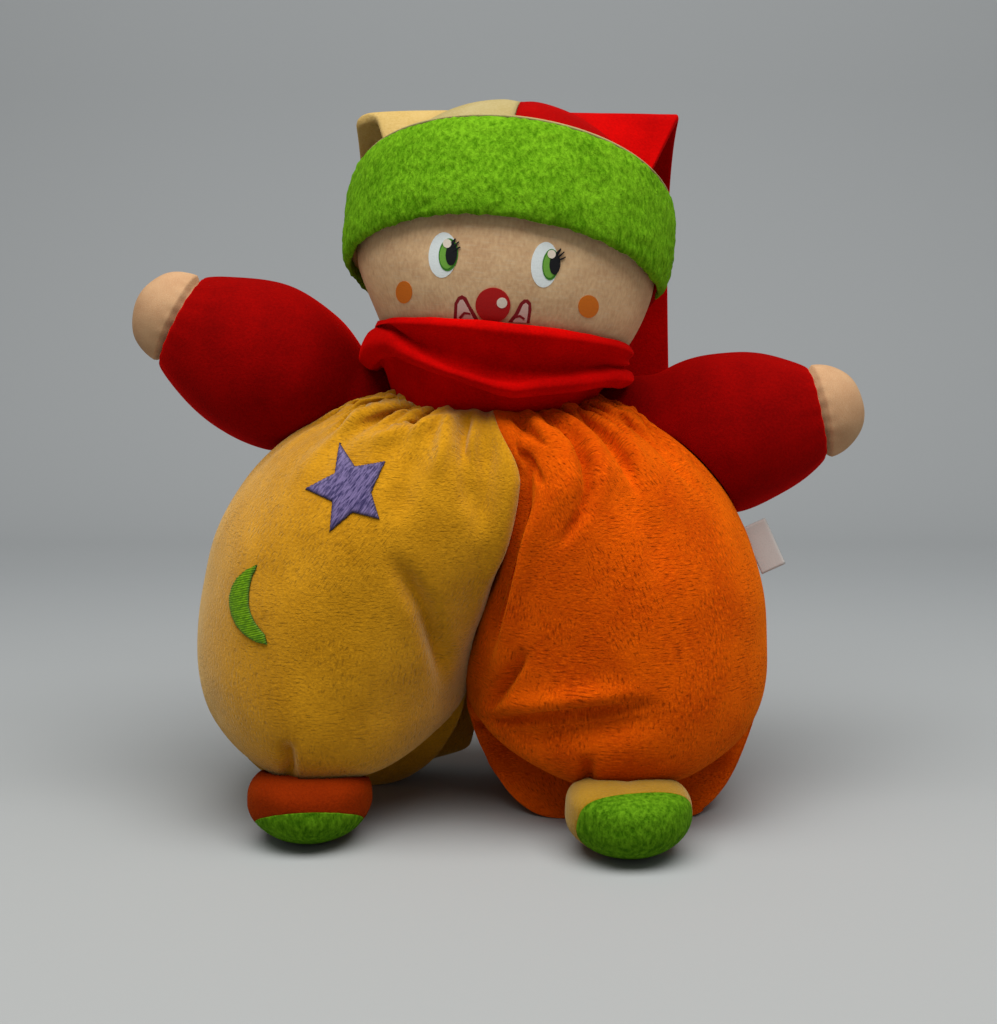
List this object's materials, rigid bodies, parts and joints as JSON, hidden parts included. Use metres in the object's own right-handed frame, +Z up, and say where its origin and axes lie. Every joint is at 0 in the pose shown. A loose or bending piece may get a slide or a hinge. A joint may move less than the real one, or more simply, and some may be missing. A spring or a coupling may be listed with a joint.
{
  "type": "clown comforter toy",
  "caption": "Soft stuffed clown doll in a two-colour velour romper, with a cuffed nightcap, cowl scarf, puffed sleeves and padded feet, that sits up by itself.",
  "frame": {"origin": "on the floor, under the middle of the whole toy", "axes": "+Z up, the face looks along -Y, +X towards the orange half's arm"},
  "size_m": [0.2454, 0.135, 0.2323],
  "materials": {
    "yellow_velour": "short pile cotton velour, warm yellow",
    "orange_velour": "short pile cotton velour, orange",
    "red_velour": "short pile cotton velour, deep red",
    "green_velour": "long pile velour, leaf green",
    "cream_velour": "short pile cotton velour, cream",
    "beige_jersey": "fine knitted jersey, beige, with a printed face",
    "fibre_filling": "loose white polyester fibre",
    "violet_thread": "satin stitch embroidery, violet",
    "green_thread": "satin stitch embroidery, green",
    "white_ribbon": "plain white woven ribbon"
  },
  "bodies": {
    "torso": {"body_front_yellow": "yellow_velour", "body_back_yellow": "yellow_velour", "body_front_orange": "orange_velour", "body_back_orange": "orange_velour", "body_filling": "fibre_filling", "star_patch": "violet_thread", "moon_patch": "green_thread", "neck_tape": "red_velour", "scarf": "red_velour"},
    "head": {"head_cover": "beige_jersey", "head_filling": "fibre_filling", "hat_crown_cream": "cream_velour", "hat_crown_red": "red_velour", "hat_cuff": "green_velour"},
    "hat_tail": {"hat_tail_cream": "cream_velour", "hat_tail_red": "red_velour"},
    "arm_yellow_side": {"sleeve_yellow_side": "red_velour", "hand_yellow_side": "beige_jersey", "arm_filling_yellow_side": "fibre_filling"},
    "arm_orange_side": {"sleeve_orange_side": "red_velour", "hand_orange_side": "beige_jersey", "arm_filling_orange_side": "fibre_filling"},
    "foot_yellow_side": {"foot_upper_yellow_side": "orange_velour", "foot_sole_yellow_side": "green_velour", "foot_filling_yellow_side": "fibre_filling"},
    "foot_orange_side": {"foot_upper_orange_side": "yellow_velour", "foot_sole_orange_side": "green_velour", "foot_filling_orange_side": "fibre_filling"},
    "label": {"label": "white_ribbon"}
  },
  "joints": [
    {"name": "head_turn", "type": "hinge", "parent": "torso", "child": "head", "pos_m": [-0.002, 0.0065, 0.1365], "axis": [0.0958, 0, 0.9954], "range_deg": [-15, 25], "stiffness_Nm_per_rad": 0.05},
    {"name": "tail_flap", "type": "hinge", "parent": "head", "child": "hat_tail", "pos_m": [0, 0.0279, 0.229], "axis": [1, 0, 0], "range_deg": [0, 130]},
    {"name": "arm_raise_yellow_side", "type": "hinge", "parent": "torso", "child": "arm_yellow_side", "pos_m": [-0.0475, 0.0185, 0.152], "axis": [0, 1, 0], "range_deg": [0, 25]},
    {"name": "arm_raise_orange_side", "type": "hinge", "parent": "torso", "child": "arm_orange_side", "pos_m": [0.044, 0.0185, 0.147], "axis": [0, -1, 0], "range_deg": [0, 40]},
    {"name": "foot_swing_yellow_side", "type": "hinge", "parent": "torso", "child": "foot_yellow_side", "pos_m": [-0.06, -0.0105, 0.012], "axis": [1, 0, 0], "range_deg": [0, 25]},
    {"name": "foot_swing_orange_side", "type": "hinge", "parent": "torso", "child": "foot_orange_side", "pos_m": [0.0395, -0.0235, 0.012], "axis": [1, 0, 0], "range_deg": [0, 25]},
    {"name": "label_flap", "type": "hinge", "parent": "torso", "child": "label", "pos_m": [0.0858, 0.0065, 0.085], "axis": [-0.4226, 0, 0.9063], "range_deg": [-50, 50], "stiffness_Nm_per_rad": 0.0002}
  ]
}
